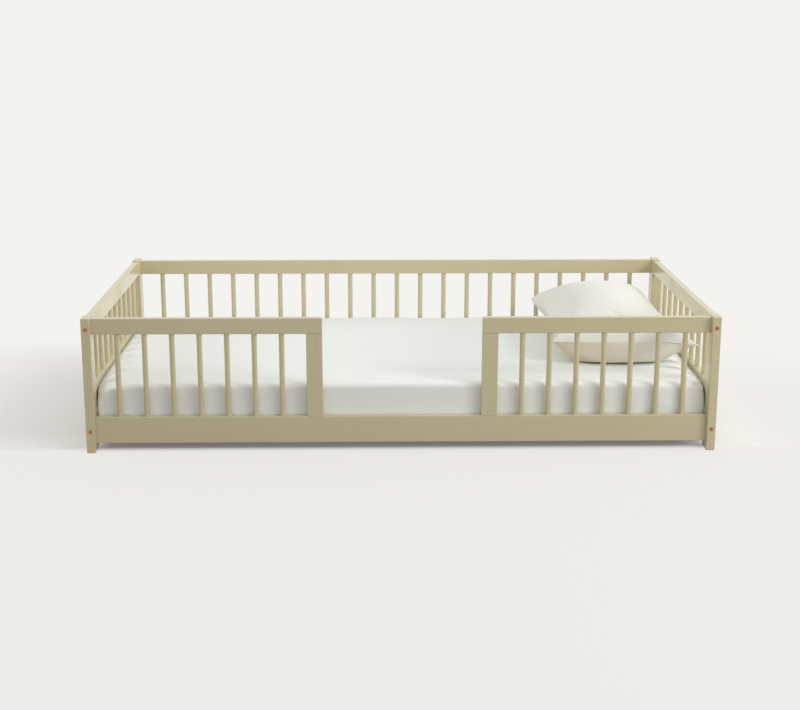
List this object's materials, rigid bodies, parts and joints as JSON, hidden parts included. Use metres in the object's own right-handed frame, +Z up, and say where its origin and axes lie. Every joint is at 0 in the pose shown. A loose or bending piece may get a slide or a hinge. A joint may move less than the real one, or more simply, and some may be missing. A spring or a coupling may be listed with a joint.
{
  "type": "kids bed",
  "caption": "Low floor bed for a child with round-spindle guard rails on all sides, an open entry gap in the front guard, a slatted base, a mattress with a fitted sheet, and a pillow.",
  "frame": {"origin": "on the floor under the middle of the bed", "axes": "+X along the bed to the right as seen from the front, +Y from the open front to the back, +Z up"},
  "size_m": [1.96, 0.982, 0.43],
  "materials": {
    "frame_lacquer": "satin lacquer",
    "slat_wood": "bare planed softwood",
    "dowel_wood": "bare turned hardwood",
    "bolt_metal": "copper plated",
    "nut_steel": "zinc plated",
    "screw_steel": "zinc plated",
    "mattress_cover": "knitted cover",
    "sheet_cloth": "plain woven cotton",
    "pillow_cloth": "plain woven cotton"
  },
  "bodies": {
    "root": {"back_ledger": "slat_wood", "back_side_rail": "frame_lacquer", "back_spindles": "frame_lacquer", "back_top_rail": "frame_lacquer", "barrel_nuts": "nut_steel", "end_dowels": "dowel_wood", "fitted_sheet": "sheet_cloth", "front_ledger": "slat_wood", "front_left_spindles": "frame_lacquer", "front_left_top_rail": "frame_lacquer", "front_left_upright": "frame_lacquer", "front_right_spindles": "frame_lacquer", "front_right_top_rail": "frame_lacquer", "front_right_upright": "frame_lacquer", "front_side_rail": "frame_lacquer", "ledger_screws": "screw_steel", "left_end_board": "frame_lacquer", "left_end_guard_rail": "frame_lacquer", "left_end_spindles": "frame_lacquer", "left_end_top_rail": "frame_lacquer", "mattress": "mattress_cover", "pillow": "pillow_cloth", "post_back_left": "frame_lacquer", "post_back_right": "frame_lacquer", "post_bolts": "bolt_metal", "post_front_left": "frame_lacquer", "post_front_right": "frame_lacquer", "rail_dowels": "dowel_wood", "right_end_board": "frame_lacquer", "right_end_guard_rail": "frame_lacquer", "right_end_spindles": "frame_lacquer", "right_end_top_rail": "frame_lacquer", "slat_01": "slat_wood", "slat_02": "slat_wood", "slat_03": "slat_wood", "slat_04": "slat_wood", "slat_05": "slat_wood", "slat_06": "slat_wood", "slat_07": "slat_wood", "slat_08": "slat_wood", "slat_09": "slat_wood", "slat_10": "slat_wood", "slat_11": "slat_wood", "slat_12": "slat_wood", "slat_13": "slat_wood", "slat_14": "slat_wood", "slat_screws": "screw_steel", "upright_dowels": "dowel_wood"}
  },
  "joints": []
}
